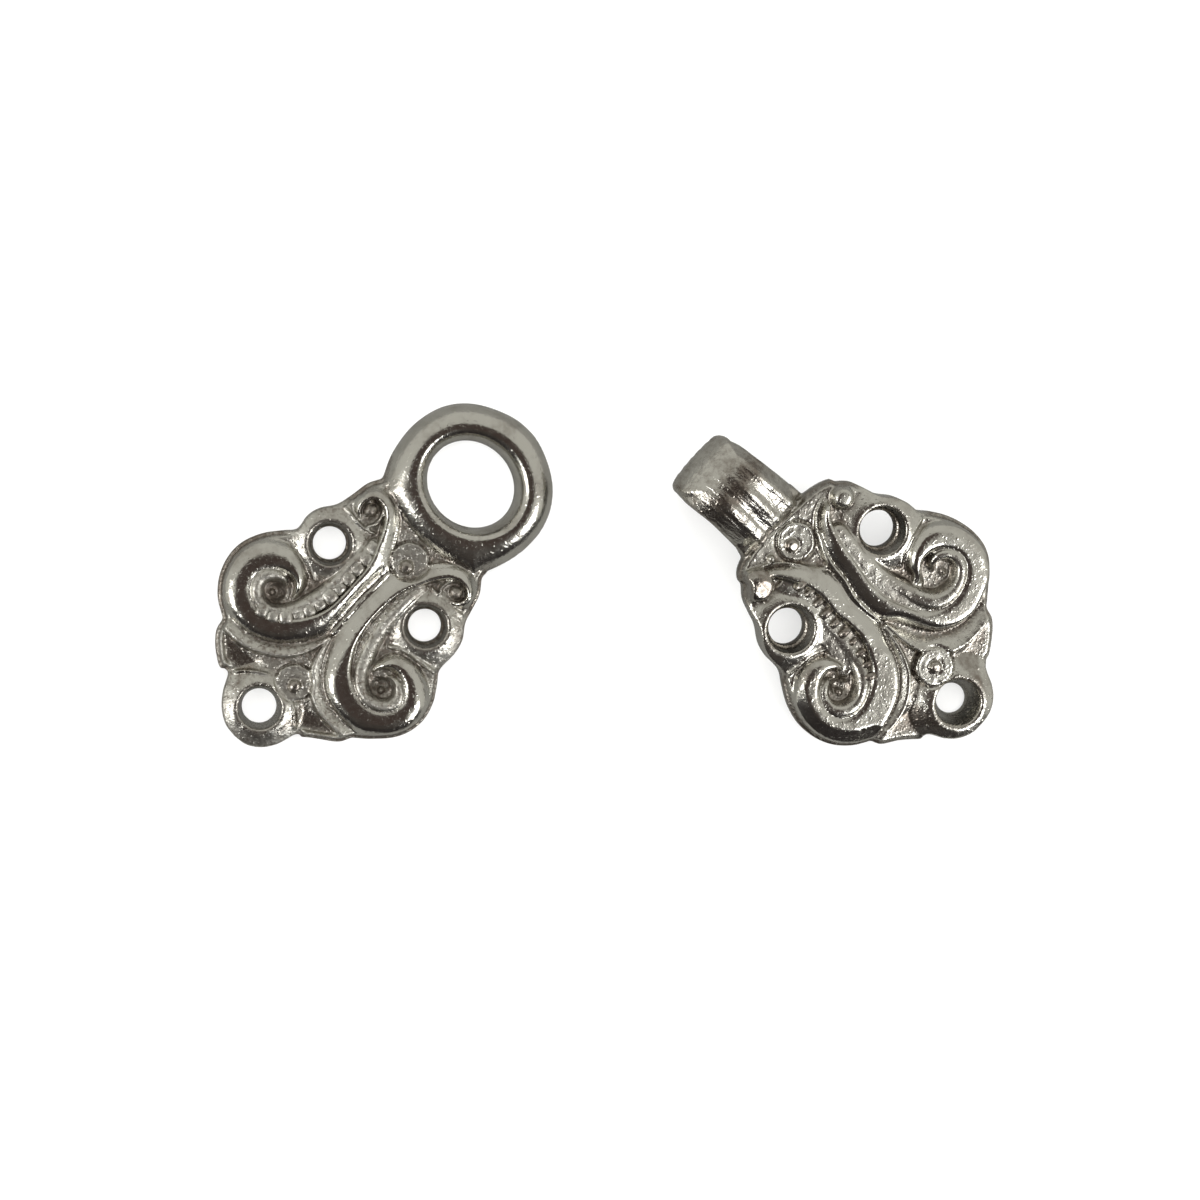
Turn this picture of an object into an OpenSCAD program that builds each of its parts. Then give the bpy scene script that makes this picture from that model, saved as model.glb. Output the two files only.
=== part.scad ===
// Hook and eye clasp for sewing onto a garment, in two loose castings that lie face up.
// Each half is drawn in its own frame first: the eye half's side holes lie on the X axis,
// +Y runs towards the ring or the hook, and the flat back is at Z = 0. It is then laid in place.

/* [Plate] */
// Distance between the two side sewing holes
ear_gap = 8.9; // [8.6:0.1:9.2]
// Distance from the side holes back to the tail hole
tail_reach = 12; // [11.7:0.1:12.3]
// Radius of a sewing hole
hole_r = 1.3; // [1.1:0.05:1.4]
// Radius of the funnel mouth of a sewing hole
mouth_r = 1.75; // [1.6:0.05:1.8]
// Outer radius of the large scroll
lobe_r = 3.9; // [3.8:0.05:4]
// Thickness of the thin edge that shows all round
edge_h = 0.9; // [0.7:0.1:1.1]
// Width of that edge
edge_w = 0.35; // [0.2:0.05:0.4]
// Height of the ground that the ornament stands on
ground_h = 1.6; // [1.4:0.1:1.7]
// Height of the scroll ridges
ridge_h = 2.4; // [2.2:0.1:2.6]

/* [Ring] */
// Inner radius of the ring
ring_r = 3; // [2.8:0.05:3.2]
// Outer radius of the ring at its foot
ring_outer_r = 5.75; // [5.6:0.05:5.9]
// Height of the ring
ring_h = 2.5; // [2.3:0.1:2.7]
// Distance from the side holes to the centre of the ring
ring_reach = 9.5; // [9.3:0.1:9.7]

/* [Hook] */
// Size of the hook half's plate beside the eye half's
hook_plate_scale = 1.04; // [1:0.01:1.05]
// How far the hook half's side holes sit towards the hook
hook_ear_shift = 0.36; // [0:0.02:0.5]
// Width of the hook's top face
hook_top_w = 4.1; // [3.8:0.1:4.4]
// Width of the hook across its sides
hook_w = 5.4; // [5:0.1:5.6]
// Thickness of the hook's metal
hook_t = 1.4; // [1.2:0.1:1.5]
// Clear height inside the hook
throat_h = 3.45; // [3.2:0.05:3.6]
// Distance from the side holes to the centre of the hook's bend
bend_reach = 10; // [9.8:0.05:10.4]
// Distance from the side holes to the tip under the plate
tip_reach = 6.4; // [6.3:0.1:7]

/* [Layout] */
// Place of the eye half
eye_at = [-16.26, -0.55];
// Turn of the eye half about the vertical
eye_turn = -43.9; // [-180:0.1:180]
// Place of the hook half
hook_at = [15.3, -0.43];
// Turn of the hook half about the vertical
hook_turn = 47.4; // [-180:0.1:180]

/* [Hidden] */
$fn = 64;
metal = [0.70, 0.69, 0.66];

// Centres of the features on the right-hand side; the left-hand side mirrors them
eye_ear = [ear_gap / 2, 0];
hook_ear = [ear_gap / 2, hook_ear_shift];
tail = [0, -tail_reach];
lobe = [5, -5.1];
stem = [9.4, -1.2];
eye_curl = [4.15, 3.4];
hook_curl = [4.1, 3.75];

// Outer radii of the rounded parts of the outline
ear_r = 2.5;
tail_r = 2.85;
curl_r = 1.5;

// Right half of the leaf beside the tail
leaf = [[0, -7], [7.3, -8.2], [6.05, -9.25], [5.4, -10.15], [3.75, -11.6], [3.1, -11.6], [2.2, -13], [0, -13]];
leaf_edge = [[4.9, -9.9], [5, -10.2], [3.7, -11.3], [3.2, -11.2], [3.3, -10.8]];

// Right half of the web that fills the notches between the curl, the ear and the large scroll
web = [[0, 5.2], [4.2, 4.9], [5.6, 2.9], [6.5, 1.3], [6.9, -0.8], [7.1, -1.9], [5, -5], [4.6, -9], [0, -9]];

// Arcs of the ornament, each with its centre, radius, width, first angle and last angle
bead_track_r = 7.15;
scroll_arcs = [
    [lobe, 2.85, 1.3, -140, 112],
    [[4.75, -4.4], 1.75, 0.8, 95, 195],
    [stem, 8.3, 1.25, 149, 211],
];
band_arcs = [
    [stem, bead_track_r, 0.8, 151, 203],
    [lobe, 1.6, 0.75, -165, 60],
];
crescent_arc = [[5.2, -5], 4.62, 0.75, 184, 268];

// Small curl above each side hole
curl_ring_r = 0.95;
curl_ring_w = 0.45;
curl_ball_r = 0.62;

// Heights above the ground, and how deep raised ornament is rooted in the plate
band_rise = 0.35;
rosette_rise = 0.3;
leaf_rise = 0.45;
collar_rise = 0.5;
crescent_drop = 0.2; // below the scroll ridges
sink = 0.3;

// Beads along the inner side of the stem
bead_r = 0.42;
bead_rise = 0.45;
bead_step = 6.2; // degrees along the track
bead_count = 9;
bead_start = 152;

// Rosettes on the middle line
rosette_r = 1.2;
rosette_rim = 0.4;
rosette_bead_r = 0.5;
eye_rosette_y = 2.6;
hook_rosette_y = 4.15;
low_rosette_y = -9;

// Sewing holes
land_h = ground_h - 0.4; // straight wall below the funnel
collar_w = 0.25;
funnel_flare = 0.15;

// Ring: a half-round bar whose inner side is cut off flat
ring_flat = 0.08;
ring_bar_r = (ring_outer_r - edge_w / 2 - ring_r + ring_flat) / 2;
ring_clear = 0.6; // the plate stops this far outside the ring's hole

// Hook profile
bend_r = (throat_h + 2 * hook_t) / 2;
bend = [bend_reach, ring_h - bend_r];
root_reach = 3.4;
root_foot = 0.4;
root_inside = 1.5; // top of the part of the root that lies inside the plate
root_step = 0.4; // the root leaves the plate this far below the hook's top
tip_taper = 0.6; // the lower leg thins by this towards its tip
corner = [0.7, 1.7]; // taken off each far corner of the hook
fillet_r = 1.6; // hollow on each side where the hook leaves the plate

// The hook half leans on its hook and on the edge of its tail
tail_edge = hook_plate_scale * (tail_reach + tail_r);
lean = asin(bend_r / norm([bend_reach + tail_edge, bend[1]])) - atan2(bend[1], bend_reach + tail_edge);
lift = tail_edge * sin(lean);

module both_sides() {
    children();
    mirror([1, 0, 0]) children();
}

// A part of a flat ring, less than a full turn, from one row of a table of arcs
module arc_band(arc) {
    r = arc[1];
    w = arc[2];
    from = arc[3];
    sweep = arc[4] - from;
    steps = ceil(sweep / 45);
    far = 2 * (r + w);
    translate(arc[0]) intersection() {
        difference() {
            circle(r + w / 2);
            circle(r - w / 2);
        }
        polygon(concat([[0, 0]], [for (i = [0 : steps])
            let (a = from + sweep * i / steps) far * [cos(a), sin(a)]]));
    }
}

// Outline of the plate, drawn in from its edge by a margin
module plate_outline(margin, ear, curl) {
    both_sides() {
        translate(ear) circle(ear_r - margin);
        translate(lobe) circle(lobe_r - margin);
        translate(curl) circle(curl_r - margin);
        translate([-margin, margin]) polygon(leaf);
        translate([-margin, -margin]) polygon(web);
    }
    translate(tail) circle(tail_r - margin);
}

// One raised piece of ornament, rooted in the plate
module raised(height) {
    translate([0, 0, ground_h - sink]) linear_extrude(height - ground_h + sink) children();
}

// The large scroll, its stem along the middle line and the small curl at its top
module scroll_ridge(curl) {
    raised(ridge_h) {
        for (arc = scroll_arcs) arc_band(arc);
        arc_band([curl, curl_ring_r, curl_ring_w, -60, 215]);
    }
    translate([curl[0], curl[1], ground_h]) sphere(curl_ball_r);
}

// The beaded band inside the stem, which curls up in the eye of the scroll
module beaded_band() {
    raised(ground_h + band_rise) for (arc = band_arcs) arc_band(arc);
    for (i = [0 : bead_count - 1])
        let (a = bead_start + i * bead_step)
            translate([stem[0] + bead_track_r * cos(a), stem[1] + bead_track_r * sin(a), ground_h - sink])
                cylinder(h = bead_rise + sink, r = bead_r);
}

module crescent_band() {
    raised(ridge_h - crescent_drop) arc_band(crescent_arc);
}

// Small disc with a rim and a bead in its middle
module rosette(y) {
    raised(ground_h + rosette_rise) translate([0, y]) difference() {
        circle(rosette_r);
        circle(rosette_r - rosette_rim);
    }
    translate([0, y, ground_h]) sphere(rosette_bead_r);
}

// Thin raised leaf edge on each side of the tail
module tail_leaf() {
    raised(ground_h + leaf_rise) polygon(leaf_edge);
}

// Collar round a sewing hole
module collar(at) {
    translate([at[0], at[1], ground_h - sink]) cylinder(h = collar_rise + sink, r = mouth_r + collar_w);
}

// Sewing hole with a straight wall below and a funnel mouth above
module sewing_hole(at) {
    translate([at[0], at[1], -1]) cylinder(h = ridge_h + 2, r = hole_r);
    translate([at[0], at[1], land_h])
        cylinder(h = ridge_h - land_h + funnel_flare, r1 = hole_r, r2 = mouth_r + funnel_flare);
}

module plate(ear, curl, rosette_y) {
    difference() {
        union() {
            linear_extrude(edge_h) plate_outline(0, ear, curl);
            linear_extrude(ground_h) plate_outline(edge_w, ear, curl);
            both_sides() {
                scroll_ridge(curl);
                beaded_band();
                crescent_band();
                tail_leaf();
                collar(ear);
            }
            collar(tail);
            rosette(rosette_y);
            rosette(low_rosette_y);
        }
        both_sides() sewing_hole(ear);
        sewing_hole(tail);
    }
}

// Round ring with a flat foot and a straight wall inside
module ring() {
    translate([0, ring_reach, 0]) rotate_extrude() {
        translate([ring_r, 0]) square([ring_outer_r - ring_r, edge_h]);
        intersection() {
            translate([ring_r + ring_bar_r - ring_flat, ring_h - ring_bar_r]) circle(ring_bar_r);
            translate([ring_r, 0]) square([ring_bar_r * 2, ring_h + 1]);
        }
    }
}

// Side view of the hook: Y to the right, Z up
module hook_profile() {
    inner_r = bend_r - hook_t;
    top_under = ring_h - hook_t;
    root_top = ring_h - root_step;
    low = bend[1] - bend_r;
    // upper leg, thicker where it leaves the plate
    polygon([
        [root_reach, root_foot], [5.6, root_foot], [7, top_under], [bend_reach, top_under],
        [bend_reach, ring_h], [8.6, ring_h], [6.4, root_top], [5.5, root_inside], [root_reach, root_inside]]);
    // bend
    translate(bend) intersection() {
        difference() {
            circle(bend_r);
            circle(inner_r);
        }
        translate([0, -bend_r - 1]) square([bend_r + 1, 2 * bend_r + 2]);
    }
    // lower leg
    polygon([
        [bend_reach, low], [bend_reach, low + hook_t], [tip_reach, low + hook_t], [tip_reach, low + tip_taper]]);
}

// View of the hook from above, with its far corners taken off
module hook_plan() {
    far = bend_reach + bend_r;
    side = hook_w / 2;
    polygon([
        [-side, 0], [side, 0], [side, far - corner[1]], [side - corner[0], far],
        [corner[0] - side, far], [-side, far - corner[1]]]);
}

// View of the hook along Y: a flat top face with sloping sides
module hook_section() {
    shoulder = ring_h - hook_t;
    floor_z = -2 * bend_r;
    polygon([
        [hook_top_w / 2, ring_h + 1], [hook_top_w / 2, ring_h], [hook_w / 2, shoulder], [hook_w / 2, floor_z],
        [-hook_w / 2, floor_z], [-hook_w / 2, shoulder], [-hook_top_w / 2, ring_h], [-hook_top_w / 2, ring_h + 1]]);
}

module hook() {
    intersection() {
        translate([-hook_w, 0, 0]) rotate([90, 0, 90]) linear_extrude(2 * hook_w) hook_profile();
        translate([0, 2 * bend_reach, 0]) rotate([90, 0, 0]) linear_extrude(2 * bend_reach) hook_section();
        translate([0, 0, -2 * bend_r]) linear_extrude(4 * bend_r) hook_plan();
    }
    // flared root on each side
    both_sides() linear_extrude(ground_h) difference() {
        translate([1.5, 4]) square([2 * fillet_r - 0.6, 2 * fillet_r]);
        translate([hook_w / 2 + fillet_r - 0.15, 7.25]) circle(fillet_r);
    }
}

module eye_half() {
    color(metal) translate([eye_at[0], eye_at[1], 0]) rotate([0, 0, eye_turn]) {
        difference() {
            plate(eye_ear, eye_curl, eye_rosette_y);
            translate([0, ring_reach, -1]) cylinder(h = ring_h + 2, r = ring_r + ring_clear);
        }
        ring();
    }
}

module hook_half() {
    color(metal) translate([hook_at[0], hook_at[1], lift]) rotate([0, 0, hook_turn]) rotate([lean, 0, 0]) {
        scale(hook_plate_scale) plate(hook_ear, hook_curl, hook_rosette_y);
        hook();
    }
}

eye_half();
hook_half();
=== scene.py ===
"""Hook and eye clasp in two silver castings. Each casting is one mesh, raised from the ornament's own crest
lines and warped to the small unevenness of a hand-finished mould, with rows of cast beads laid along it."""
import math
import bmesh
import bpy
import numpy as np
from mathutils import Matrix, Vector


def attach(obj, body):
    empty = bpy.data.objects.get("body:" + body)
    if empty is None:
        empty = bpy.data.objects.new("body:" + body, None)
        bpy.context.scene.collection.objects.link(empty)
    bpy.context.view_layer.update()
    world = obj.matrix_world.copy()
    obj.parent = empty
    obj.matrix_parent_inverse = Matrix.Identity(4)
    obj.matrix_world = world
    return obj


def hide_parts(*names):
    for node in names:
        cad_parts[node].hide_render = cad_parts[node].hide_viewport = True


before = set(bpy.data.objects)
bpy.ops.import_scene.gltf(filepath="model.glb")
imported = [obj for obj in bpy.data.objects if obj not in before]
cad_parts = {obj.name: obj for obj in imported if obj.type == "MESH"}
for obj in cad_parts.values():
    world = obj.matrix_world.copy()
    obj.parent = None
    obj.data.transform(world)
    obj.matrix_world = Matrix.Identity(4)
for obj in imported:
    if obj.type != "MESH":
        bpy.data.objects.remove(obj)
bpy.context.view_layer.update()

MM = 0.001
# Steps of the grid that the castings are made on, in millimetres across and up
CELL = 0.11
STEPS = (CELL, CELL, 0.13)

# Where each half lies, as in the part's source: place in millimetres, then turn and lean in degrees
PLACE = {"eye": ((-16.26, -0.55, 0.0), -43.9, 0), "hook": ((15.3, -0.43, 2.272), 47.4, 8.46)}

# Camera, in millimetres
CAMERA_AT = (-30.723, 15.13, 250.0)
CAMERA_AIM = (-0.723, -1.87, 0.0)
CAMERA_LENS = 108.15

# Places on the design's right side, then on eye left, eye right, hook left and hook right
FEATURES = {
    "shoulder": ((4.2, 6.2), (4.2, 6.2), (4.25, 6.1), (4.0, 5.7), (4.25, 5.5)),
    "neck": ((4.9, 5.3), (4.85, 5.4), (4.95, 5.2), (4.6, 4.8), (5.1, 4.8)),
    "curl": ((4.15, 3.35), (4.0, 3.4), (4.3, 3.3), (4.2, 3.95), (4.45, 4.0)),
    "curl side": ((5.75, 3.2), (5.55, 3.2), (5.95, 3.2), (5.65, 3.1), (6.1, 3.1)),
    "ear hole": ((4.4, -0.1), (4.4, -0.3), (4.33, 0.1), (4.6, 0.45), (4.75, 0.3)),
    "ear side": ((7.0, 0.1), (6.8, 0.0), (7.15, 0.1), (7.05, 0.1), (7.4, 0.2)),
    "pinch": ((6.9, -1.15), (6.68, -1.1), (7.2, -1.4), (7.15, -1.35), (7.55, -0.9)),
    "volute": ((5.0, -5.25), (4.95, -5.35), (5.15, -5.1), (5.45, -5.25), (5.65, -4.95)),
    "lobe side": ((8.8, -5.0), (8.8, -5.0), (8.75, -5.3), (8.95, -5.8), (9.2, -5.5)),
    "lobe foot": ((7.5, -8.2), (7.4, -8.3), (7.2, -8.05), (7.6, -9.0), (7.7, -8.25)),
    "waist": ((6.15, -9.25), (6.1, -9.2), (6.0, -9.1), (6.4, -9.9), (6.05, -9.65)),
    "fin": ((5.1, -11.0), (5.1, -10.95), (4.45, -10.65), (5.15, -11.3), (4.95, -11.3)),
    "fin tip": ((4.1, -11.7), (4.0, -11.7), (3.55, -11.3), (3.95, -12.45), (3.9, -12.05)),
    "tail notch": ((3.1, -11.9), (3.2, -11.7), (2.9, -11.8), (3.2, -12.7), (2.8, -12.6)),
    "stem": ((1.15, -1.0), (1.25, -1.0), (1.12, -1.0), (1.5, -1.0), (1.4, -1.0)),
    "stem foot": ((2.45, -5.85), (2.45, -5.85), (2.45, -5.85), (2.5, -6.0), (2.3, -6.0)),
}
# Places on the design's middle line, then on the eye half and the hook half
MIDDLE = {
    "top": ((0, 5), (0, 5), (0, 5.2)),
    "seam": ((0, 0), (0, 0), (0.4, 0)),
    "fork": ((0, -5), (0.05, -5), (0.1, -4.6)),
    "tail hole": ((0, -11.85), (-0.12, -11.85), (-0.25, -12.4)),
    "tail end": ((0, -14.45), (0, -14.45), (-0.15, -14.9)),
}
# Sewing holes of each half in its own frame: centre, and the bore's radius at the back
HOLES = {
    "eye": ((-4.4, -0.3, 1.15), (4.33, 0.1, 1.15), (-0.12, -11.82, 1.15)),
    "hook": ((-4.6, 0.45, 1.3), (4.75, 0.3, 1.3), (-0.28, -12.4, 1.02)),
}
# Distances from a hole's centre are scaled by this, so the hook half has the wider mouths and collars
HOLE_SCALE = {"eye": 1, "hook": 0.88}
# Rosettes: centre and radius of the disc, centre and radius of the ball, and the height the disc starts from
ROSETTES = {
    "eye": ((0.42, 2.6, 1.3, 0.52, 2.15, 0.5, 1.5), (0.42, -8.95, 1.25, 0.6, -9.1, 0.45, 1.5)),
    "hook": ((0.1, 4.35, 1.35, -0.3, 4.4, 0.48, 1.5), (0.4, -9.3, 1.38, 0.42, -9.3, 0.45, 1.8)),
}

# Right half of the plate's outline, from above the neck round to the tail
OUTLINE = [
    (0, 6.35), (3.5, 6.4), (4.75, 6.0), (4.9, 5.3), (5.45, 4.4), (5.75, 3.2), (6.05, 2.1), (6.75, 1.1),
    (7.0, 0.1), (6.9, -1.15), (7.5, -1.95), (8.3, -3.05), (8.8, -4.4), (8.8, -5.8), (8.35, -7.1),
    (7.5, -8.2), (6.5, -8.95), (6.15, -9.25), (5.9, -10.1), (5.1, -11.0), (4.1, -11.7), (3.6, -11.65),
    (3.1, -11.9), (2.6, -12.9), (1.9, -13.75), (1.0, -14.3), (0, -14.45)]

# Crest line of the scroll on the design's right side: x, y, width on the left and right of the way,
# height, then the height of the foot on the right and how square the shoulder above it is
SCROLL = [
    (4.3, 2.5, 0.15, 0.3, 1.8, 1.4, 1.6), (4.75, 2.78, 0.2, 0.5, 2.0, 1.3, 1.6),
    (4.92, 3.25, 0.25, 0.8, 2.15, 1.2, 1.6), (4.8, 3.75, 0.3, 0.9, 2.25, 1.1, 1.7),
    (4.35, 4.1, 0.35, 1.0, 2.3, 1.2, 1.7), (3.7, 4.2, 0.4, 1.05, 2.35, 1.4, 1.6),
    (3.05, 3.9, 0.4, 1.0, 2.35, 1.5, 1.5), (2.55, 3.3, 0.4, 0.95, 2.35, 1.6, 1.4),
    (2.15, 2.6, 0.4, 0.9, 2.35, 1.7, 1.4), (1.85, 1.9, 0.38, 0.95, 2.38, 1.8, 1.35),
    (1.52, 1.2, 0.36, 1.0, 2.4, 1.85, 1.35), (1.32, 0.5, 0.34, 1.1, 2.4, 1.88, 1.35),
    (1.2, -0.2, 0.32, 1.1, 2.4, 1.9, 1.35), (1.15, -1, 0.32, 1.08, 2.4, 1.9, 1.35),
    (1.13, -2, 0.32, 1.06, 2.4, 1.9, 1.35), (1.2, -3, 0.32, 1.15, 2.4, 1.88, 1.4),
    (1.4, -4, 0.32, 1.3, 2.42, 1.8, 1.6), (1.85, -4.95, 0.36, 1.5, 2.44, 1.7, 2.2),
    (2.45, -5.85, 0.5, 1.65, 2.45, 1.6, 3.2), (3.2, -6.6, 0.7, 1.75, 2.45, 1.5, 4.2),
    (4.05, -7.08, 0.85, 1.75, 2.45, 1.4, 4.5), (4.95, -7.25, 0.9, 1.8, 2.45, 1.2, 4.2),
    (5.85, -7.05, 0.9, 1.9, 2.45, 1.0, 3.6), (6.6, -6.5, 0.9, 2.0, 2.45, 0.9, 3.3),
    (7.0, -5.7, 0.9, 2.0, 2.45, 0.9, 3.2), (7.05, -4.95, 0.9, 1.95, 2.45, 0.9, 3.2),
    (6.8, -4.25, 0.9, 1.9, 2.45, 1.0, 3.0), (6.25, -3.65, 0.85, 1.7, 2.45, 1.1, 2.8),
    (5.5, -3.3, 0.8, 1.35, 2.44, 1.3, 2.6), (4.8, -3.25, 0.7, 1.0, 2.42, 1.4, 2.0),
    (4.2, -3.55, 0.5, 0.75, 2.35, 1.5, 1.6), (3.85, -4.05, 0.3, 0.45, 2.2, 1.5, 1.6),
    (3.65, -4.7, 0.2, 0.25, 1.8, 1.5, 1.6)]
# Crest lines of the other ornament: x, y, width on the left and right of the way, height
BAND = [
    (2.45, 1.75, 0.3, 0.5, 1.9), (2.25, 1.1, 0.5, 0.55, 2.15), (2.18, 0.2, 0.6, 0.55, 2.2),
    (2.15, -1, 0.65, 0.55, 2.22), (2.18, -2, 0.65, 0.55, 2.22), (2.28, -3, 0.7, 0.55, 2.24),
    (2.55, -4, 0.7, 0.55, 2.3), (2.9, -4.9, 0.65, 0.55, 2.38), (3.4, -5.7, 0.6, 0.52, 2.5),
    (4.05, -6.25, 0.58, 0.52, 2.56), (4.85, -6.5, 0.58, 0.52, 2.58), (5.6, -6.3, 0.6, 0.55, 2.58),
    (6.15, -5.75, 0.6, 0.6, 2.58), (6.25, -5.05, 0.58, 0.65, 2.55), (5.9, -4.5, 0.5, 0.58, 2.52),
    (5.35, -4.25, 0.42, 0.45, 2.45), (4.9, -4.4, 0.3, 0.35, 2.2), (4.7, -4.8, 0.15, 0.2, 1.8)]
CRESCENT = [
    (0.1, -5.0, 0.12, 0.12, 1.95), (0.25, -6.0, 0.4, 0.18, 2.05), (0.6, -7.0, 0.65, 0.22, 2.15),
    (1.15, -7.9, 0.8, 0.25, 2.2), (2.0, -8.65, 0.85, 0.25, 2.2), (3.0, -9.2, 0.85, 0.25, 2.15),
    (4.2, -9.5, 0.8, 0.25, 2.1), (5.4, -9.45, 0.7, 0.25, 2.0), (6.1, -9.3, 0.5, 0.2, 1.85)]
FIN_RIM = [(5.8, -9.8, 0.2, 0.3, 1.7), (5.2, -10.5, 0.35, 0.35, 1.8), (4.4, -11.2, 0.4, 0.35, 1.8),
           (3.7, -11.4, 0.3, 0.3, 1.6)]
THREADS = [
    [(5.7, 2.3, 0.12, 0.15, 1.75), (4.8, 2.2, 0.16, 0.18, 1.9), (4.0, 2.1, 0.16, 0.18, 1.95),
     (3.4, 2.12, 0.13, 0.15, 1.85)],
    [(6.9, -1.55, 0.12, 0.25, 1.75), (5.6, -1.9, 0.16, 0.25, 1.95), (4.8, -2.1, 0.16, 0.25, 2.0),
     (4.1, -2.35, 0.16, 0.25, 1.95), (3.4, -2.75, 0.16, 0.2, 1.85)],
    [(1.1, -9.9, 0.12, 0.15, 1.9), (2.0, -10.5, 0.15, 0.15, 1.95), (2.9, -11.35, 0.12, 0.15, 1.75)],
    [(0.1, 1.0, 0.14, 0.14, 1.85), (0.6, 1.5, 0.14, 0.14, 1.9), (1.0, 2.3, 0.14, 0.14, 1.9),
     (1.55, 3.3, 0.14, 0.14, 1.9), (2.4, 4.3, 0.14, 0.14, 1.9), (3.3, 4.95, 0.14, 0.14, 1.8)],
    [(3.75, 3.95, 0.1, 0.14, 1.95), (3.4, 3.7, 0.12, 0.16, 2.1), (3.2, 3.2, 0.13, 0.17, 2.15),
     (3.2, 2.75, 0.13, 0.17, 2.1), (3.45, 2.35, 0.12, 0.15, 2.0), (3.1, 2.2, 0.12, 0.12, 1.95),
     (2.75, 2.3, 0.1, 0.12, 1.9)],
    [(0.05, -5.0, 0.1, 0.1, 1.95), (0.3, -5.8, 0.1, 0.12, 2.0), (0.7, -6.7, 0.1, 0.12, 1.9)],
]
# The hook half has no thread below its small curl nor inside it
HOOK_THREADS = THREADS[1:4] + THREADS[5:]
# Raised line along the middle, where the two stems meet
SEAM = {
    "eye": [(-0.04, 0.9, 0.12, 0.12, 1.95), (-0.05, -2, 0.14, 0.14, 2.02), (-0.02, -4.7, 0.12, 0.12, 1.95)],
    "hook": [(1.3, 2.7, 0.15, 0.2, 1.95), (0.55, 1.6, 0.2, 0.3, 2.15), (0.12, 0.6, 0.22, 0.36, 2.25),
             (0.0, -1, 0.22, 0.36, 2.3), (-0.02, -4.4, 0.2, 0.24, 2.15)],
}
# Heights of the open ground, of the foot that scroll and threads rise from, of the collars' foot and of the
# floor under the row of beads
GROUND = 1.55
FOOT = 1.45
COLLAR_FOOT = 1.4
TROUGH_FLOOR = {"eye": 2.02, "hook": 1.85}

# Hollows in the large scroll and in the small curl, on the design's right side: middle and radius
BOWL = (4.75, -5.15, 0.8)
PIT = (4.1, 3.3, 0.72)
# Balls: middle, radius, height of the crown and how steeply the sides fall. The first two are on the design's
# right side, the others in the hook half's own frame
EYE_BALL = ((4.1, 3.25), 0.5, 2.0, 1.1)
BOWL_BALL = ((5.05, -5.4), 0.26, 1.7, 1.1)
HOOK_BALL = ((-3.95, 4.35), 1.2, 2.6, 0.55)
NECK_BALL = ((-1.95, 4.85), 0.28, 2.0, 1.0)
# In the hook half's own frame: place and height of the flat that is rubbed on its large ball, the button in
# its right curl, and a stain on its left
HOOK_BALL_FLAT = ((-3.95, 3.95), 2.46)
BUTTON = (4.5, 4.05)
STAIN = (-6.05, -2.6)

# Rows of beads: side, path on the design's right side, number, half sizes along, across and up, how deep they
# sit and how far they tilt away from the stem, in degrees
ROW = [(2.05, 1.55), (1.9, 0.6), (1.85, -0.4), (1.83, -1.4), (1.86, -2.4), (2.0, -3.3), (2.25, -4.2),
       (2.65, -5.1), (3.2, -5.95), (3.9, -6.5), (4.7, -6.75)]
EDGE_ROW = [(1.72, 0.9), (1.66, -0.2), (1.66, -1.2), (1.7, -2.2), (1.8, -3.2)]
SECOND_ROW = [(2.55, -0.9), (2.55, -1.7), (2.6, -2.5), (2.7, -3.3), (3.0, -4.2)]
BEAD_ROWS = {
    "eye": ((-1, ROW, 12, 0.46, 0.52, 0.2, 0.06, 8), (1, EDGE_ROW, 5, 0.2, 0.14, 0.2, 0.06, 0),
            (1, SECOND_ROW, 7, 0.13, 0.13, 0.14, 0.02, 0)),
    "hook": ((-1, [(x - 0.1, y) for x, y in ROW[:9]], 10, 0.29, 0.5, 0.36, 0.0, 0),),
}
# How uneven and matte the beads are, and how far their colour is darkened
BEAD_FINISH = {"eye": (0.14, 0.8, 0.0), "hook": (0.35, 0.3, 0.9)}

# Collar round each sewing hole: radii of its mouth, crest and foot, its height, and the funnel's depth
COLLAR = dict(mouth=1.5, crest=1.7, foot=2.9, height=2.05, depth=1.93)

# Ring: centre and half widths of its crest and of its inner edge, then its outline
RING_CREST = (-0.1, 9.45, 4.15, 3.75)
RING_INNER = (-0.1, 9.4, 3.2, 2.85)
RING_OUTLINE = [
    (-4.3, 4.6), (-5.0, 5.9), (-5.55, 7.3), (-5.82, 9.2), (-5.6, 10.9), (-5.0, 12.3), (-3.95, 13.45),
    (-2.5, 14.3), (-0.8, 14.85), (0.9, 14.85), (2.5, 14.3), (3.95, 13.4), (5.0, 12.2), (5.6, 10.8),
    (5.78, 9.3), (5.6, 7.8), (5.2, 6.5), (4.7, 5.4), (4.3, 4.6), (0, 3.9)]
RING_HEIGHT = 2.5
RING_FOOT = 0.55

# Hook: middle of the metal's thickness along the way, as y and z, then half width on the left and right
HOOK_WAY = [
    (5.6, 0.0, 2.8, 3.2), (6.25, 0.4, 2.75, 3.15), (6.5, 0.92, 2.72, 3.1), (7.2, 1.16, 2.7, 3.03),
    (8.1, 1.44, 2.7, 2.95), (9.0, 1.71, 2.7, 2.85), (9.9, 1.8, 2.72, 2.78), (10.8, 1.62, 2.78, 2.7),
    (11.6, 1.15, 2.82, 2.66), (12.22, 0.4, 2.82, 2.6), (12.5, -0.5, 2.78, 2.55), (12.28, -1.5, 2.7, 2.45),
    (11.55, -2.35, 2.6, 2.35), (10.5, -2.83, 2.5, 2.2), (9.4, -2.88, 2.4, 2.05), (8.0, -2.7, 2.25, 1.9),
    (6.75, -2.5, 2.05, 1.75)]
HOOK_MIDDLE = -0.3
HOOK_THICK = 1.4
# How far the mould's seam stands out at the hook's sides
SEAM_REACH = 0.35

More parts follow.
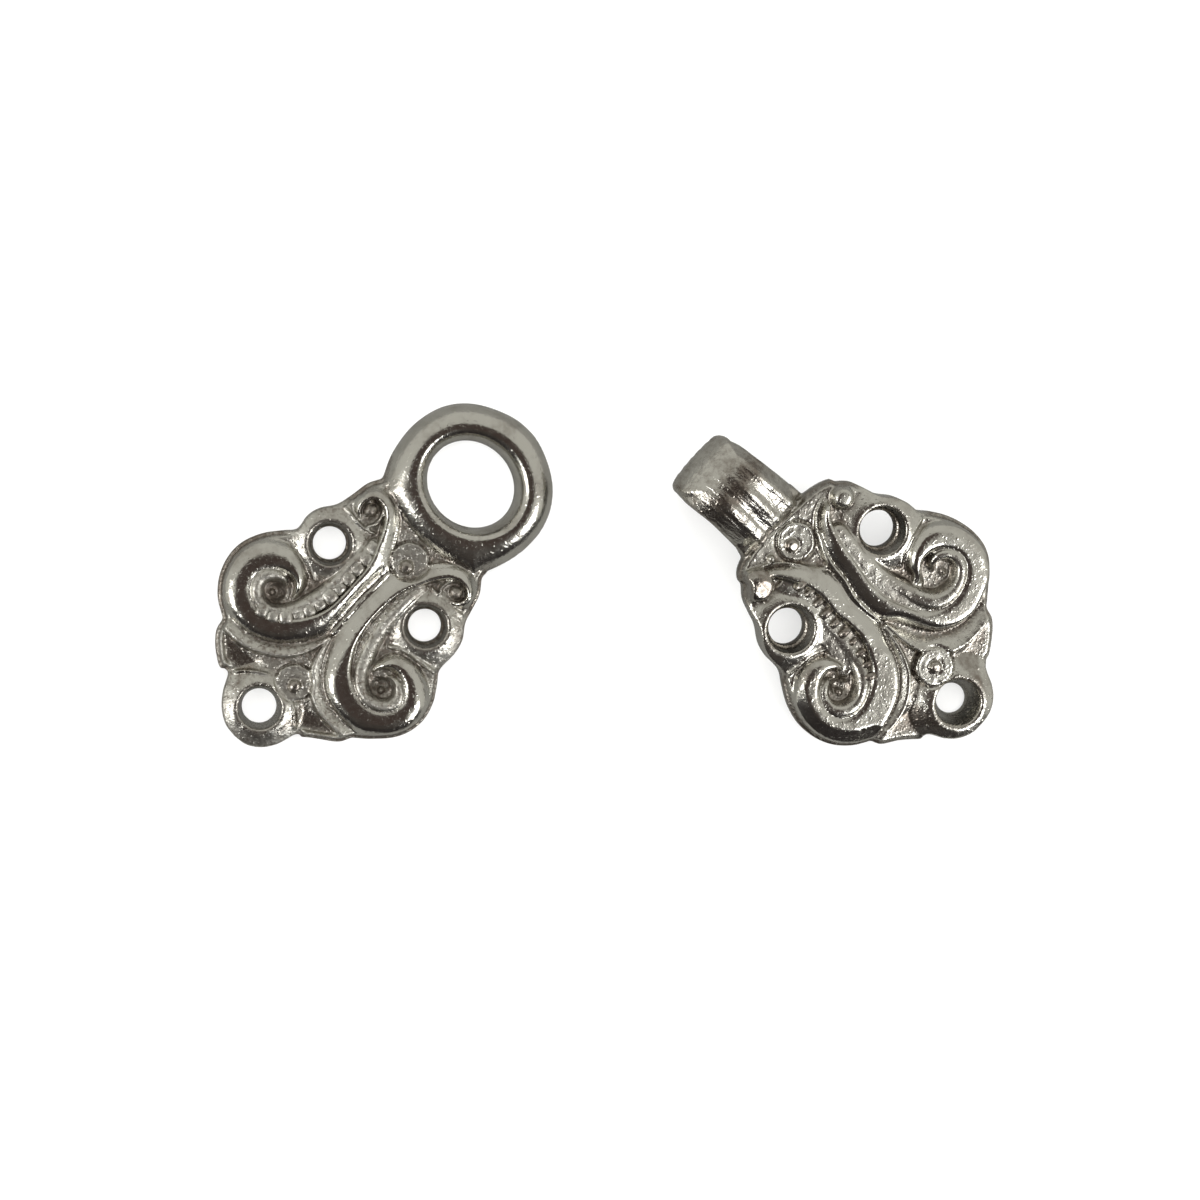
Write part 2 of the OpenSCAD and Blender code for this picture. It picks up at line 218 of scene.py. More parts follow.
# Places along Y: where the hook's bar starts within its plate, and where the plate's own finish ends
HOOK_FROM = 4.5
PLATE_END = 7
# Below this height, on edges and backs, the finish is even
PLAIN_BELOW = 0.45

# Low and high corners of the grid that each casting is made on, in its own frame
GRID = {"eye": ((-9.5, -15.1, -0.25), (9.5, 15.6, 3.0)), "hook": ((-9.8, -15.5, -4.5), (9.8, 14.0, 3.125))}
# Random lumps in the cast skin: width in cells, share and seed; then their strength on each half
LUMPS = ((3.2, 0.6, 11), (6.5, 0.4, 12))
LUMP_STRENGTH = {"eye": 1, "hook": 0.5}

# Colours of the room: its walls, the backdrop that the camera sees, and dark patches, each with its direction
# and the degrees from it that the patch is full at and gone at
WALLS = (0.66, 0.65, 0.61, 1)
BACKDROP = (0.9, 0.9, 0.89, 1)
DARK_PATCHES = (
    ((0.04, -1, 0.04), 56, 68, (0.035, 0.03, 0.03, 1)),
    ((-0.1, -0.6, 1), 22, 34, (0.06, 0.05, 0.045, 1)),
    ((0.0, -0.05, 1), 19, 27, (0.07, 0.05, 0.044, 1)))
# Plating where it is worn bright, and the darker colour of its tarnish, which the painted shade also uses
BRIGHT = (0.575, 0.565, 0.515, 1)
PATINA_AND_SHADE_COLOUR = (0.24, 0.21, 0.18, 1)


def curve_through(points, steps=8):
    """A smooth curve through the points; every column is carried along."""
    p = np.array(points, float)
    ends = np.vstack([2 * p[0] - p[1], p, 2 * p[-1] - p[-2]])
    t = np.linspace(0, 1, steps, endpoint=False)[:, None]
    parts = []
    for a, b, c, d in zip(ends, ends[1:], ends[2:], ends[3:]):
        bend = (2 * a - 5 * b + 4 * c - d) * t ** 2 + (3 * b - a - 3 * c + d) * t ** 3
        parts.append(0.5 * (2 * b + (c - a) * t + bend))
    return np.vstack(parts + [p[-1:]])


def soft_max(a, b, k):
    """The larger of two, with the step between them rounded over about k."""
    t = np.clip(0.5 + 0.5 * (a - b) / k, 0, 1)
    return b + (a - b) * t + k * t * (1 - t)


def soft_min(a, b, k):
    return -soft_max(-a, -b, k)


def rise(value, start, length):
    """0 up to the start, then climbing to 1 over the length."""
    return np.clip((value - start) / length, 0, 1)


def fade(distance, width, power=2):
    """1 where the distance is 0, fading away over about the width."""
    return np.exp(-(distance / width) ** power)


def only(region, height):
    """A height that counts in one region; far below everything outside it."""
    return np.where(region, height, -9)


def blur(a, cells):
    """A field with its detail softened over that many cells."""
    reach = int(3 * cells + 1)
    weights = np.exp(-0.5 * (np.arange(-reach, reach + 1) / cells) ** 2)
    weights /= weights.sum()
    for axis in (0, 1):
        wide = np.pad(a, [(reach, reach) if i == axis else (0, 0) for i in (0, 1)], mode="edge")
        n = a.shape[axis]
        a = sum(w * (wide[i:i + n] if axis == 0 else wide[:, i:i + n]) for i, w in enumerate(weights))
    return a


def cast_noise(shape, cells, seed):
    """Soft random lumps about that many cells wide, with a spread of about 1."""
    rng = np.random.default_rng(seed)
    a = rng.normal(size=[int(n / cells) + 4 for n in shape])
    for axis, n in enumerate(shape):
        at = np.arange(n) / cells + 1
        low = at.astype(int)
        t = (at - low).reshape([-1 if i == axis else 1 for i in (0, 1)])
        t = t * t * (3 - 2 * t)
        a = np.take(a, low, axis) * (1 - t) + np.take(a, low + 1, axis) * t
    return a * 1.6


def warp_pairs(half):
    """Matching places in the even design and on a casting."""
    side = {"eye": 1, "hook": 3}[half]
    design, cast = [], []
    for row in FEATURES.values():
        for sign, (x, y) in ((-1, row[side]), (1, row[side + 1])):
            design.append((sign * row[0][0], row[0][1]))
            cast.append((sign * x, y))
    for row in MIDDLE.values():
        design.append(row[0])
        cast.append(row[{"eye": 1, "hook": 2}[half]])
    return np.array(design, float), np.array(cast, float)


def warp(start, end):
    """The smoothest bending of the plane that carries the start places to the end places."""
    n = len(start)

    def pull(a, b):
        r2 = ((a[:, None] - b[None]) ** 2).sum(-1)
        return 0.5 * r2 * np.log(r2 + 1e-9)

    full = np.zeros((n + 3, n + 3))
    full[:n, :n] = pull(start, start) + 0.05 * np.eye(n)
    full[:n, n] = 1
    full[:n, n + 1:] = start
    full[n:, :n] = full[:n, n:].T
    weights = np.linalg.solve(full, np.vstack([end, np.zeros((3, 2))]))

    def bend(x, y):
        q = np.stack([x.ravel(), y.ravel()], 1)
        out = np.concatenate([pull(q[i:i + 20000], start) @ weights[:n] for i in range(0, len(q), 20000)])
        out += weights[n] + q @ weights[n + 1:]
        return out[:, 0].reshape(x.shape), out[:, 1].reshape(x.shape)

    return bend


def to_segment(x, y, a, b):
    """Squared distance to a line from a to b, the share of it passed, and a number positive on its left."""
    dx, dy = b[0] - a[0], b[1] - a[1]
    px, py = x - a[0], y - a[1]
    t = np.clip((px * dx + py * dy) / max(dx * dx + dy * dy, 1e-12), 0, 1)
    return (px - t * dx) ** 2 + (py - t * dy) ** 2, t, dx * py - dy * px


def nearest_on(x, y, curve):
    """Signed distance to a curve, positive on its left, and the curve's other columns where it is nearest."""
    best = np.full(x.shape, 1e9)
    side = np.zeros(x.shape)
    columns = [np.zeros(x.shape) for _ in range(curve.shape[1] - 2)]
    for a, b in zip(curve[:-1], curve[1:]):
        far, t, left = to_segment(x, y, a, b)
        near = far < best
        best = np.where(near, far, best)
        side = np.where(near, left, side)
        for i, column in enumerate(columns):
            columns[i] = np.where(near, a[i + 2] + t * (b[i + 2] - a[i + 2]), column)
    return np.sqrt(best) * np.where(side < 0, -1, 1), columns


def inside_distance(x, y, outline):
    """Distance to a closed outline, positive inside it."""
    best = np.full(x.shape, 1e9)
    odd = np.zeros(x.shape, bool)
    for a, b in zip(outline, np.roll(outline, -1, 0)):
        best = np.minimum(best, to_segment(x, y, a, b)[0])
        dx, dy = b - a
        if dy:
            odd ^= ((a[1] > y) != (b[1] > y)) & (x < dx * (y - a[1]) / dy + a[0])
    return np.sqrt(best) * np.where(odd, 1, -1)


def ridge(x, y, crest, ground, fall_left=2.0, fall_right=2.0):
    """Height of a ridge along a crest line. A crest with two more columns has its own foot on the right."""
    d, (left, right, height, *foot) = nearest_on(x, y, curve_through(crest))
    t = np.minimum(np.abs(d) / np.where(d > 0, left, right), 1.6)
    if foot:
        fall_right = foot[1]
        ground = np.where(d > 0, ground, foot[0])
    return ground + (height - ground) * (1 - t ** np.where(d > 0, fall_left, fall_right))


def collar(r, ground, bore):
    """Height of the land round a sewing hole, which slopes away from the hole's sharp mouth."""
    c = COLLAR
    outer = np.clip((r - c["crest"]) / (c["foot"] - c["crest"]), 0, 1.5) ** 1.25
    land = ground + (c["height"] - ground) * (1 - outer)
    rim = land - 0.04 * np.clip((c["crest"] - r) / (c["crest"] - c["mouth"]), 0, 1) ** 2
    return rim - c["depth"] / (c["mouth"] - bore) * np.maximum(c["mouth"] - r, 0)


def dome(x, y, centre, radius, top, fall):
    """Height of a ball with its crown at the given height; far below everything outside it."""
    d2 = (x - centre[0]) ** 2 + (y - centre[1]) ** 2
    return only(d2 < radius ** 2, top - fall * (radius - np.sqrt(np.maximum(radius ** 2 - d2, 0))))


def polished(height, x, y, place, top):
    """A relief whose highest part is rubbed to a slanting flat at the given place and height."""
    return soft_min(height, top - 0.02 * (x - place[0]) + 0.2 * (y - place[1]), 0.02)


def rosette(x, y, rose):
    """Height of a rosette: a disc with a low rim, and a ball that stands in a fine groove in its middle."""
    cx, cy, radius, ball_x, ball_y, ball, ground = rose
    d = np.hypot(x - cx, y - cy)
    disc = only(d < radius, ground + 0.25 - 0.03 * (d / radius) ** 2 + 0.03 * fade(d - 0.9 * radius, 0.09))
    groove = 0.05 * fade(np.hypot(x - ball_x, y - ball_y) - ball - 0.04, 0.09)
    return soft_max(disc - groove, dome(x, y, (ball_x, ball_y), ball, ground + 0.66, 0.8), 0.02)


def hook_scroll(side):
    """The hook half's scroll on its left or right: it starts below the curl and is flatter on top."""
    rows = []
    for number, (x, y, left, right, height, foot, square) in enumerate(SCROLL[6:]):
        bottom = y < -5.5 and x < 6.2
        power = (5.0 if bottom else 1.6) * square
        if side == "right" and y < -4.5 and x < 6.2:
            # a dark groove follows the coil's left side and narrows towards its bottom
            right = 0.95 + 0.1 * max(x - 2.4, 0)
            power = 1.8 + 3 * max(x - 2.4, 0)
        right *= min(1, 0.45 + 0.14 * number)
        rows.append((x, y, left, right, height, 1.5 if bottom else foot, power))
    return [(3.3, 4.3, 0.2, 0.3, 1.8, 1.4, 2.0)] + rows


def scroll_relief(half, a, u, v, edge):
    """Height of the scroll: alike on both sides of the eye half, with coils of its own on the hook half."""
    if half == "eye":
        return ridge(a, v, SCROLL, FOOT, 2.4)
    left, right = (ridge(a, v, hook_scroll(side), FOOT, 2.4) for side in ("left", "right"))
    # the left coil slopes down to the plate's edge
    slope = np.where((u < 0) & (v < -1.5), 1.62 + 0.62 * edge, 9)
    return soft_min(np.where(u < 0, left, right), slope, 0.04)


def ornament(half, a, u, v, edge):
    """Height of the ground with its bands, scroll and bead groove, and how matte each place is."""
    on_left = u < 0
    height = GROUND - 0.3 * rise(-v, 9.4, 0.6) * rise(a, 1.6, 0.8)
    band = ridge(a, v, BAND, 1.4, 3.2, 4)
    if half == "hook":
        band -= 0.22 * on_left * rise(v, -6, 1.5)
    crescent = np.maximum(ridge(a, v, CRESCENT, 1.7, 1.2, 4), 1.3)
    scroll = scroll_relief(half, a, u, v, edge)
    matte = np.where(scroll > height, 0.0, 0.8)
    matte = np.where(np.maximum(band, crescent) > np.maximum(scroll, height), 1.0, matte)
    height = soft_max(height, band, 0.06)
    height = soft_max(height, crescent, 0.06)
    if half == "eye":
        # the left stem is hollowed towards the seam, the right one is a plain slope
        along = rise(-v, -1.2, 0.8) * rise(v, -5, 1)
        scroll = scroll - 0.2 * along * fade(u + 0.42, 0.3)
    height = soft_max(height, scroll, 0.05)
    if half == "eye":
        height = soft_max(height, only(edge < 1.2, ridge(a, v, FIN_RIM, 1.2, 1.6)), 0.1)
    # the groove that the bead row lies in
    trough = np.abs(nearest_on(a, v, curve_through(ROW))[0])
    height = soft_max(height, only(trough < 0.8, TROUGH_FLOOR[half] - 0.5 * (trough / 0.6) ** 4), 0.1)
    if half == "hook":
        slope = np.where(v < -0.8, 0.03, 0.22)
        apron = 1.96 - slope * trough ** 2 - 2 * np.maximum(trough - 1.6, 0)
        height = soft_max(height, only(on_left & (v < 2.2) & (v > -5), apron), 0.04)
        # on its right the hook half has a smooth flush band instead of beads
        flush = 2.24 - 0.4 * (trough / 0.8) ** 6
        height = soft_max(height, only((u > 0) & (trough < 0.9), flush), 0.04)
    return height, matte


def with_holes(half, height, matte, tarnish_and_painted_shade, x, y):
    """The plate with its sewing holes and their collars, and the distance outside the nearest bore."""
    bore = np.full(x.shape, 1e9)
    crest = COLLAR["crest"]
    scale = HOLE_SCALE[half]
    for hole_x, hole_y, hole_r in HOLES[half]:
        r = np.hypot(x - hole_x, y - hole_y) * scale
        land = collar(r, COLLAR_FOOT, hole_r * scale)
        beside = soft_min(height, land + 0.1 + 1.2 * (r - crest), 0.1)
        outer = np.where(r < crest + 0.4, soft_max(beside, land, 0.08), soft_max(height, land, 0.08))
        height = np.where(r < crest, land, outer)
        bore = np.minimum(bore, r - hole_r * scale)
        matte = np.where(r < crest + 0.4, 0.35, matte)
        tarnish_and_painted_shade = np.maximum(tarnish_and_painted_shade, 0.5 * fade(r - 1.55, 0.2))
    return height, matte, tarnish_and_painted_shade, bore


def with_rosettes(half, height, matte, tarnish_and_painted_shade, x, y):
    """The plate with its rosettes, each set off by a groove."""
    for rose in ROSETTES[half]:
        cx, cy, radius, ball_x, ball_y, ball_r, ground = rose
        d = np.hypot(x - cx, y - cy)
        relief = rosette(x, y, rose)
        if half == "hook":
            relief = np.where(d < 1, polished(relief, x, y, (ball_x, ball_y), ground + 0.56), relief)
        cut = height - 0.22 * fade(d - radius, 0.13)
        height = np.where(d < radius - 0.05, relief, soft_max(cut, relief, 0.04))
        ball = np.hypot(x - ball_x, y - ball_y) / ball_r
        matte = np.where(d < radius, 0.7 if half == "eye" else 0.4, matte)
        matte = np.where(ball < 1.05, 0.1, matte)
        # painted dark reflection: each rosette ball's colour is darkened, standing in for the dark room it
        # reflects
        tarnish_and_painted_shade = np.maximum(tarnish_and_painted_shade, fade(ball, 1.2, 6))
    return height, matte, tarnish_and_painted_shade


def plate_relief(half, x, y):
    """Height map of the plate, distance inside its edges, how matte each place is, and how far tarnish and
    painted shade darken it.
    """
    design, cast = warp_pairs(half)
    u, v = warp(cast, design)(x, y)
    a = np.abs(u)
    right = curve_through(OUTLINE, 6)
    edge = inside_distance(u, v, np.vstack([right, (right * [-1, 1])[::-1][1:-1]]))
    height, matte = ornament(half, a, u, v, edge)
    bowl = np.hypot(a - BOWL[0], v - BOWL[1])
    bowl_floor = 1.1 if half == "eye" else np.where(u < 0, 1.15, 1.6)
    height = soft_min(height, bowl_floor + 0.7 * (bowl / BOWL[2]) ** 2.4, 0.06)
    tarnish_and_painted_shade = fade(bowl, 0.85, 4)
    if half == "eye":
        pit = np.hypot(a - PIT[0], v - PIT[1])
        height = soft_min(height, 1.2 + 0.8 * (pit / PIT[2]) ** 3, 0.05)
        tarnish_and_painted_shade = np.maximum(tarnish_and_painted_shade, fade(pit, 0.85, 4))
    for thread in THREADS if half == "eye" else HOOK_THREADS:
        height = soft_max(height, ridge(a, v, thread, FOOT), 0.04)
    if half == "eye":
        height = soft_max(height, dome(a, v, *EYE_BALL), 0.04)
    else:
        # a polished ball in the left curl and a flat button in the right one
        ball = polished(dome(x, y, *HOOK_BALL), x, y, *HOOK_BALL_FLAT)
        height = soft_max(height, ball, 0.03)
        button = np.hypot(x - BUTTON[0], y - BUTTON[1])
        height = soft_max(height, only(button < 1, 2.4 - 0.5 * (button / 0.8) ** 5), 0.03)
        height = soft_max(height, dome(x, y, *NECK_BALL), 0.04)
        from_ball = np.hypot(x - HOOK_BALL[0][0], y - HOOK_BALL[0][1])
        matte = np.where(from_ball < 1.2, 0, matte)
        # painted dark reflection: the large ball's colour is darkened, standing in for the dark room it
        # reflects
        tarnish_and_painted_shade = np.maximum(tarnish_and_painted_shade, 0.8 * (from_ball < 1.15))
        tarnish_and_painted_shade = np.maximum(tarnish_and_painted_shade, np.exp(-((x - STAIN[0]) / 0.9) ** 2 - ((y - STAIN[1]) / 0.8) ** 2))
    height = soft_max(height, dome(a, v, *BOWL_BALL), 0.03)
    # the field inside the leaf beside the tail is made darker and smooth
    fin = rise(-v, 9.6, 0.3) * rise(a, 1.9, 0.3) * rise(edge, 0.5, 0.3)
    tarnish_and_painted_shade = np.maximum(tarnish_and_painted_shade, fin)
    matte = matte * (1 - fin)
    height = soft_max(height, ridge(u, v, SEAM[half], 1.6), 0.03)
    # the thin lip all round, then the shoulder that climbs from it
    shoulder = 1 - np.exp(-np.clip(edge - 0.22, 0, 9) / 0.22)
    height = soft_min(height, 0.75 + 0.5 * np.clip(edge, 0, 1) + 1.9 * shoulder, 0.25)
    height, matte, tarnish_and_painted_shade, bore = with_holes(half, height, matte, tarnish_and_painted_shade, x, y)
    height, matte, tarnish_and_painted_shade = with_rosettes(half, height, matte, tarnish_and_painted_shade, x, y)
    return height, np.minimum(edge, bore), matte, tarnish_and_painted_shade


def ellipse_radius(x, y, cx, cy, rx, ry):
    """Distance from an ellipse's centre over the ellipse's own radius that way."""
    return np.hypot((x - cx) / rx, (y - cy) / ry)


def outside_opening(x, y):
    """Distance outside the ring's inner edge."""
    return (ellipse_radius(x, y, *RING_INNER) - 1) * min(RING_INNER[2:])


def ring_relief(x, y):
    """Height map of the ring, round on top with a flat foot, and the distance inside its two edges."""
    cx, cy, rx, ry = RING_CREST
    way = np.hypot(x - cx, y - cy) + 1e-9
    crest = way / ellipse_radius(x, y, cx, cy, rx, ry)
    inner_edge = outside_opening(x, y)
    outer_edge = inside_distance(x, y, curve_through(RING_OUTLINE + RING_OUTLINE[:1], 5)[:-1])
    inner_width = inner_edge + np.maximum(crest - way, 0) + 1e-6
    outer_width = np.maximum(outer_edge, 0) + np.maximum(way - crest, 0) + 1e-6
    t_in = np.clip((crest - way) / np.maximum(inner_width, 0.3), 0, 1)
    t_out = np.clip((way - crest) / np.maximum(outer_width, 0.3), 0, 1)
    t = np.where(way < crest, t_in, t_out)
    height = RING_FOOT + (RING_HEIGHT - RING_FOOT) * np.sqrt(np.clip(1 - t ** 2.1, 0, 1))
    return height, np.minimum(inner_edge, outer_edge)


def solid_from_relief(height, edge, z):
    """Field of a flat-backed casting, positive inside: below the height map, within the edge, above 0."""
    slope = np.hypot(*np.gradient(height, CELL))
    top = (height[..., None] - z) / np.sqrt(1 + np.minimum(slope, 3) ** 2)[..., None]
    side = soft_min(edge[..., None], z, 0.2)
    return soft_min(top, side, 0.12)


def rounded_bar(across, d, half_width, half_thick, rounding):
    """Field of a bar's section with rounded corners, positive inside."""
    qx = np.abs(across) - half_width + rounding
    qz = np.abs(d) - half_thick + rounding
    return rounding - np.hypot(np.maximum(qx, 0), np.maximum(qz, 0)) - np.minimum(np.maximum(qx, qz), 0)


def hook_solid(x, y, z):
    """Field of the hook, positive inside: a crowned bar with the mould's seam standing out at its sides."""
    d, (left, right) = nearest_on(y, z, curve_through(HOOK_WAY, 6))
    d, left, right, y, z = (side_view[None] for side_view in (d, left, right, y, z))
    across = (x - HOOK_MIDDLE)[..., None]
    on_left = across < 0
    # the seam fades into the bend, whose far corners are rounded off
    bent = rise(y, 11.7, 0.9)
    corner = 1 - np.sqrt(1 - np.clip((y - 12.3) / 0.93, 0, 0.99) ** 2)
    slant = rise(y, 11.6, 1.6)
    half_width = np.where(on_left, left - 0.45 * corner, right - 0.25 * slant ** 1.5 - 0.15 * corner)
    outside = np.clip(d / HOOK_THICK + 0.5, 0, 1)
    bevel = np.where(on_left, 0.75, 0.4) * (1 - bent)
    body = half_width - SEAM_REACH * (1 - bent) - bevel * outside ** 2
    # shallow lengthwise furrows, as a file and wear leave them
    level = (1 - 0.85 * rise(y, 9.7, 1.0)) * rise(z, -1, 0.8)
    furrow = (-0.085 * np.cos(3.7 * (across + 1.2)) * level + 0.016 * np.cos(8.9 * across + 1 + 0.35 * y)
              + 0.01 * np.cos(17 * across - 0.5 * y))
    crown = 0.14 * (across / 2.2) ** 2 + furrow * outside
    rounding = np.where(on_left, 0.4 + 0.2 * bent, 0.45 - 0.1 * bent)
    bar = rounded_bar(across, d + crown, body, HOOK_THICK / 2, rounding)
    # along the straight part the seam's wings droop
    droop = np.where(on_left, 0.75, 1.0) * np.maximum(np.abs(across) - half_width + 0.9, 0) - 0.35
    droop = droop * (1 - bent) * rise(y, 6.3, 0.8)
    seam = rounded_bar(across, d + 0.1 + droop, half_width - 0.4 * SEAM_REACH * bent, 0.3, 0.15)
    return soft_max(bar, seam, 0.1)


def neighbours(field, axis, rest):
    """The field's values at the two ends of each grid line along an axis, and the rest of its cells."""
    low, high = [rest] * 3, [rest] * 3
    low[axis], high[axis] = slice(0, -1), slice(1, None)
    return field[tuple(low)], field[tuple(high)]


def skin(field, origin, steps):
    """A closed mesh on the field's zero surface: a point in each cell it crosses, pulled onto the surface."""
    solid = field > 0
    cells_each_way = [n - 1 for n in field.shape]
    total = np.zeros(cells_each_way + [3], np.float32)
    count = np.zeros(cells_each_way, np.float32)
    for axis in range(3):
        a, b = neighbours(field, axis, slice(None))
        cut = np.not_equal(*neighbours(solid, axis, slice(None)))
        t = np.where(cut, a / np.where(a == b, 1, a - b), 0).astype(np.float32)
        others = [i for i in range(3) if i != axis]
        for i in (0, 1):
            for j in (0, 1):
                take = [slice(None)] * 3
                take[others[0]] = slice(i, i - 1 or None)
                take[others[1]] = slice(j, j - 1 or None)
                c, s = cut[tuple(take)], t[tuple(take)]
                count += c
                total[..., axis] += np.where(c, s, 0)
                total[..., others[0]] += c * i
                total[..., others[1]] += c * j
    cells = np.argwhere(count > 0)
    index = np.full(count.shape, -1)
    index[tuple(cells.T)] = np.arange(len(cells))
    points = cells + total[tuple(cells.T)] / count[tuple(cells.T)][:, None]
    faces = []
    for axis in range(3):
        a, b = neighbours(solid, axis, slice(1, -1))
        for inner, outer, way in ((a, b, 1), (b, a, -1)):
            at = np.argwhere(inner & ~outer)
            corners = []
            for j, k in ((1, 1), (0, 1), (0, 0), (1, 0)):
                c = at.copy()
                c[:, (axis + 1) % 3] += j
                c[:, (axis + 2) % 3] += k
                corners.append(index[tuple(c.T)])
            faces.append(np.stack(corners, 1)[:, ::way])
    return pull_to_surface(points, field) * steps + origin, np.concatenate(faces)


def read_field(field, points):
    """The field between its grid points, by straight lines along each axis."""
    top = np.array(field.shape) - 1.001
    p = np.clip(points, 0, top)
    low = p.astype(int)
    t = p - low
    value = 0
    for i in (0, 1):
        for j in (0, 1):
            for k in (0, 1):
                weight = (t[:, 0] if i else 1 - t[:, 0]) * (t[:, 1] if j else 1 - t[:, 1])
                weight = weight * (t[:, 2] if k else 1 - t[:, 2])
                value = value + weight * field[low[:, 0] + i, low[:, 1] + j, low[:, 2] + k]
    return value


def pull_to_surface(points, field):
    """Moves each point along the field's slope onto the surface, by less than a cell."""
    start = points.copy()
    for _ in range(3):
        value = read_field(field, points)
        slope = np.stack([(read_field(field, points + step) - read_field(field, points - step))
                          for step in 0.5 * np.eye(3)], 1)
        move = -value[:, None] * slope / np.maximum((slope ** 2).sum(1), 1e-6)[:, None]
        points = start + np.clip(points + move - start, -0.6, 0.6)
    return points


def placed(points, half):
    """Points in a half's own frame, in millimetres, carried to where the half lies, in metres."""
    at, turn, lean = PLACE[half]
    turn, lean = (Matrix.Rotation(math.radians(a), 4, axis) for a, axis in ((turn, "Z"), (lean, "X")))
    m = np.array(Matrix.Translation(at) @ turn @ lean)
    return (points @ m[:3, :3].T + m[:3, 3]) * MM


def in_scene(name, data):
    """A new object in the scene, at the origin."""
    made = bpy.data.objects.new(name, data)
    bpy.context.scene.collection.objects.link(made)
    return made


def mesh_object(name, points, faces, material):
    """A smooth-shaded object of these faces."""
    mesh = bpy.data.meshes.new(name)
    mesh.from_pydata(points, [], faces, shade_flat=False)
    mesh.validate()
    mesh.materials.append(material)
    return in_scene(name, mesh)


def add_node(tree, kind, inputs, **settings):
    """A node with its settings, and a number or another node's socket for each input."""
    node = tree.nodes.new(kind)
    for name, value in settings.items():
        setattr(node, name, value)
    for name, value in inputs.items():
        if isinstance(value, bpy.types.NodeSocket):
            tree.links.new(value, node.inputs[name])
        else:
            node.inputs[name].default_value = value
    return node


def add_math(tree, kind, a, b):
    """Two numbers or sockets put together."""
    return add_node(tree, "ShaderNodeMath", {0: a, 1: b}, operation=kind).outputs[0]


def add_range(tree, value, low, high, to_low, to_high, kind="LINEAR"):
    """A value carried from one range to another."""
    inputs = {"Value": value, "From Min": low, "From Max": high, "To Min": to_low, "To Max": to_high}
    return add_node(tree, "ShaderNodeMapRange", inputs, interpolation_type=kind).outputs["Result"]


def add_mix(tree, factor, a, b):
    """A mix of two colours."""
    return add_node(tree, "ShaderNodeMix", {0: factor, 6: a, 7: b}, data_type="RGBA").outputs[2]


def add_noise(tree, place, scale, detail, rough):
    """Noise on the object's own coordinates."""
    inputs = {"Vector": place, "Scale": scale, "Detail": detail, "Roughness": rough}
    return add_node(tree, "ShaderNodeTexNoise", inputs).outputs["Fac"]


def bead_tree(material):
    """Geometry nodes that lay cast beads along a path, each turned with it and a little uneven."""
    tree = bpy.data.node_groups.new("bead_row", "GeometryNodeTree")
    face = tree.interface
    face.new_socket("Path", in_out="INPUT", socket_type="NodeSocketGeometry")
    for name, value in (("Beads", 8), ("Length", 0.0004), ("Width", 0.0003), ("Height", 0.0003),
                        ("Tilt", 0.0), ("Unevenness", 0.15), ("Seed", 1)):
        kind = "NodeSocketInt" if isinstance(value, int) else "NodeSocketFloat"
        face.new_socket(name, in_out="INPUT", socket_type=kind).default_value = value
    face.new_socket("Beads", in_out="OUTPUT", socket_type="NodeSocketGeometry")
    given = tree.nodes.new("NodeGroupInput").outputs

    def add(kind, output, inputs, **settings):
        return add_node(tree, kind, inputs, **settings).outputs[output]

    curve = add("GeometryNodeMeshToCurve", "Curve", {"Mesh": given["Path"]})
    spaced = add("GeometryNodeResampleCurve", "Curve", {"Curve": curve, "Count": given["Beads"]})
    block = add("GeometryNodeMeshCube", "Mesh",
                {"Size": (2.2, 2.2, 2.4), "Vertices X": 3, "Vertices Y": 3, "Vertices Z": 2})
    rounded = add("GeometryNodeSubdivisionSurface", "Mesh", {"Mesh": block, "Level": 1})
    smooth = add("GeometryNodeSetShadeSmooth", "Geometry", {"Geometry": rounded})
    tangent = add("GeometryNodeInputTangent", "Tangent", {})
    turn = add("FunctionNodeAlignEulerToVector", "Rotation", {"Vector": tangent}, axis="X", pivot_axis="Z")
    size = add("ShaderNodeCombineXYZ", 0, {"X": given["Length"], "Y": given["Width"], "Z": given["Height"]})
    smallest = add_math(tree, "SUBTRACT", 1.0, given["Unevenness"])
    swing = add("FunctionNodeRandomValue", 1, {2: smallest, 3: 1.05, "Seed": given["Seed"]},
                data_type="FLOAT")
    grown = add("ShaderNodeVectorMath", "Vector", {0: size, "Scale": swing}, operation="SCALE")
    laid = add("GeometryNodeInstanceOnPoints", "Instances",
               {"Points": spaced, "Instance": smooth, "Rotation": turn, "Scale": grown})
    lean = add("ShaderNodeCombineXYZ", 0, {"X": given["Tilt"]})
    leant = add("GeometryNodeRotateInstances", "Instances", {"Instances": laid, "Rotation": lean})
    real = add("GeometryNodeRealizeInstances", "Geometry", {"Geometry": leant})
    finish = add("GeometryNodeSetMaterial", "Geometry", {"Geometry": real, "Material": material})
    tree.links.new(finish, tree.nodes.new("NodeGroupOutput").inputs["Beads"])
    return tree


def bead_row(tree, path, **sizes):
    """The mesh of one row of beads along a path of points in metres."""
    line = bpy.data.meshes.new("bead_path")
    line.from_pydata([tuple(p) for p in path], [(i, i + 1) for i in range(len(path) - 1)], [])
    holder = in_scene("bead_path", line)
    modifier = holder.modifiers.new("beads", "NODES")
    modifier.node_group = tree
    keys = {item.name: item.identifier for item in tree.interface.items_tree if item.in_out == "INPUT"}
    for name, value in sizes.items():
        modifier[keys[name]] = value
    graph = bpy.context.evaluated_depsgraph_get()
    mesh = bpy.data.meshes.new_from_object(holder.evaluated_get(graph))
    bpy.data.objects.remove(holder)
    return mesh


